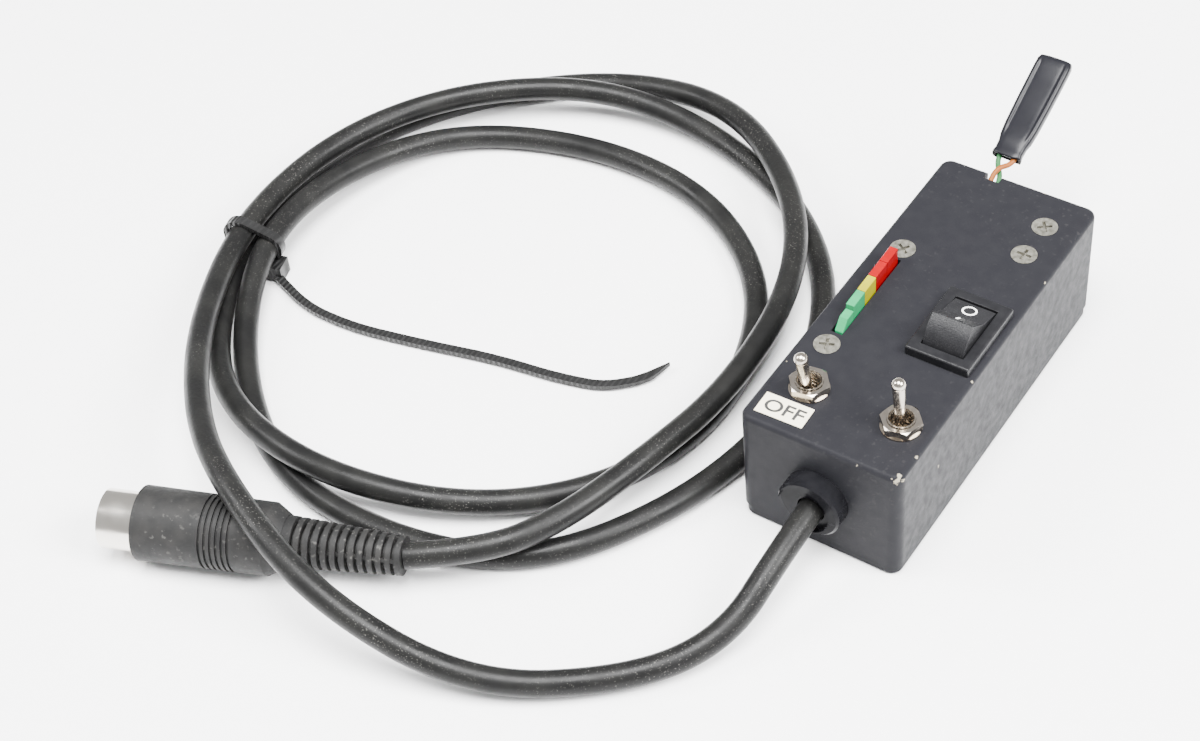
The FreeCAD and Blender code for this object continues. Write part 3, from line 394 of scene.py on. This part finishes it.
def build():
    black = make_material(
        "case_black", (0.011, 0.011, 0.013), 0.4, tint=(0.014, 0.014, 0.016),
        bump=0.3, bump_scale=3200, dust=0.03, dust_scale=900, chips=CHIPS, spec=0.05,
    )
    gloss = make_material(
        "black_gloss", (0.005, 0.005, 0.006), 0.2, bump=0.1, bump_scale=900, spec=0.05,
    )
    bezel = make_material("bezel_black", (0.006, 0.006, 0.007), 0.34, bump=0.15, spec=0.25)
    key = make_material(
        "key_black", (0.008, 0.008, 0.009), 0.42, bump=0.6, bump_scale=2600, spec=0.22,
    )
    nickel = make_material(
        "nickel", (0.45, 0.41, 0.36), 0.2, metal=1.0, tint=(0.42, 0.35, 0.28),
        amount=0.35, scale=400, bump=0.05,
    )
    mirror = make_material(
        "shell_nickel", (0.74, 0.71, 0.66), 0.2, metal=1.0, tint=(0.6, 0.56, 0.5), scale=90,
    )
    thread = make_material(
        "nickel_thread", (0.4, 0.36, 0.31), 0.26, metal=1.0, tint=(0.4, 0.35, 0.28),
        scale=700, bump=0.1, ripple=0.6, ripple_scale=320,
    )
    zinc = make_material(
        "zinc", (0.3, 0.29, 0.25), 0.38, metal=0.8, tint=(0.12, 0.115, 0.09),
        amount=0.8, scale=900, bump=0.4, bump_scale=1800,
    )
    rubber = make_material(
        "lead_rubber", (0.006, 0.006, 0.006), 0.36, tint=(0.014, 0.014, 0.013),
        scale=120, bump=0.45, bump_scale=1100, dust=0.3, dust_scale=2600, spec=0.13,
    )
    moulded = make_material(
        "plug_rubber", (0.01, 0.01, 0.01), 0.6, tint=(0.022, 0.021, 0.02),
        scale=250, bump=0.6, bump_scale=1200, dust=0.2, spec=0.18,
    )
    sleeve = make_material(
        "sleeve_black", (0.007, 0.007, 0.009), 0.24, spec=0.15, amount=0.2,
        vary=0.15, bump=0.06, bump_scale=500,
    )
    nylon = make_material(
        "nylon", (0.008, 0.008, 0.008), 0.38, spec=0.2, bump=0.2, ripple=0.7,
        ripple_scale=240, ripple_axis="X",
    )
    label = make_material("label_paper", (0.86, 0.8, 0.62), 0.55, tint=(0.78, 0.7, 0.5), bump=0.2)
    ink = make_material("ink", (0.02, 0.02, 0.02), 0.5)
    white = make_material("mark_white", (0.85, 0.85, 0.82), 0.5)
    laminate = make_material("laminate", (0.3, 0.2, 0.09), 0.5, tint=(0.2, 0.13, 0.06), bump=0.3)
    brass = make_material("tinned_brass", (0.6, 0.52, 0.33), 0.35, metal=1.0, bump=0.2)
    blue = make_material("switch_blue", (0.05, 0.1, 0.25), 0.4, bump=0.2)
    beige = make_material(
        "wire_beige", (0.2, 0.055, 0.006), 0.5, tint=(0.24, 0.085, 0.015), spec=0.2,
    )
    green = make_material(
        "wire_green", (0.015, 0.09, 0.025), 0.5, tint=(0.05, 0.14, 0.06), spec=0.2,
    )
    led = {}
    for colour, base in (
        ("red", (0.2, 0.0, 0.002)), ("yellow", (0.25, 0.23, 0.002)), ("green", (0.01, 0.2, 0.075)),
    ):
        # These LEDs are not lit; their small emission is painted glow that brightens their colour.
        led[colour] = make_material(
            "led_" + colour, base, 0.18, bump=0.15, coat=0.04, painted_glow=0.13, spec=0.18,
        )

    finishes = {
        "case_shell": black, "base_lid": black, "rocker_housing": bezel,
        "bushing_body": gloss, "bushing_clamp": gloss, "lid_screws": zinc,
        "panel_screws": zinc, "panel_nuts": zinc, "panel_spacers": zinc,
        "indicator_board": laminate, "tag_strip": laminate, "plug_body": moulded,
        "plug_boot": moulded, "plug_insert": gloss, "plug_shell": mirror,
        "plug_pins": nickel, "cable_tie": nylon, "off_label": label,
        "lead_inner_end": rubber, "lead_cores": green, "wire_beige": beige,
        "wire_green": green, "sleeved_component": key, "rocker_actuator": key,
    }
    for name, obj in nodes.items():
        if name in finishes:
            finish = finishes[name]
        elif name.startswith("led_") and name.split("_")[1] in led:
            finish = led[name.split("_")[1]]
        elif name.endswith("bushing"):
            finish = thread
        elif name.endswith(("nut", "washer", "lever")):
            finish = nickel
        elif name.endswith("_body"):
            finish = blue
        else:
            finish = brass
        paint(obj, finish)

    add_lead(rubber)
    add_sleeve(sleeve)
    for name in nodes:
        if name.startswith("led_") and name != "led_leads":
            soft_copy(name, "case", 0.18, led[name.split("_")[1]])
    soft_copy("rocker_actuator", "rocker_actuator", 0.12, key)
    soft_copy("rocker_housing", "case", 0.15, bezel)
    add_text_legend("OFF", 4.6, (-10.95, -40.6, 31.17), math.radians(1.7), ink)
    add_key_marks(white)


add_camera()
add_stage()
build()
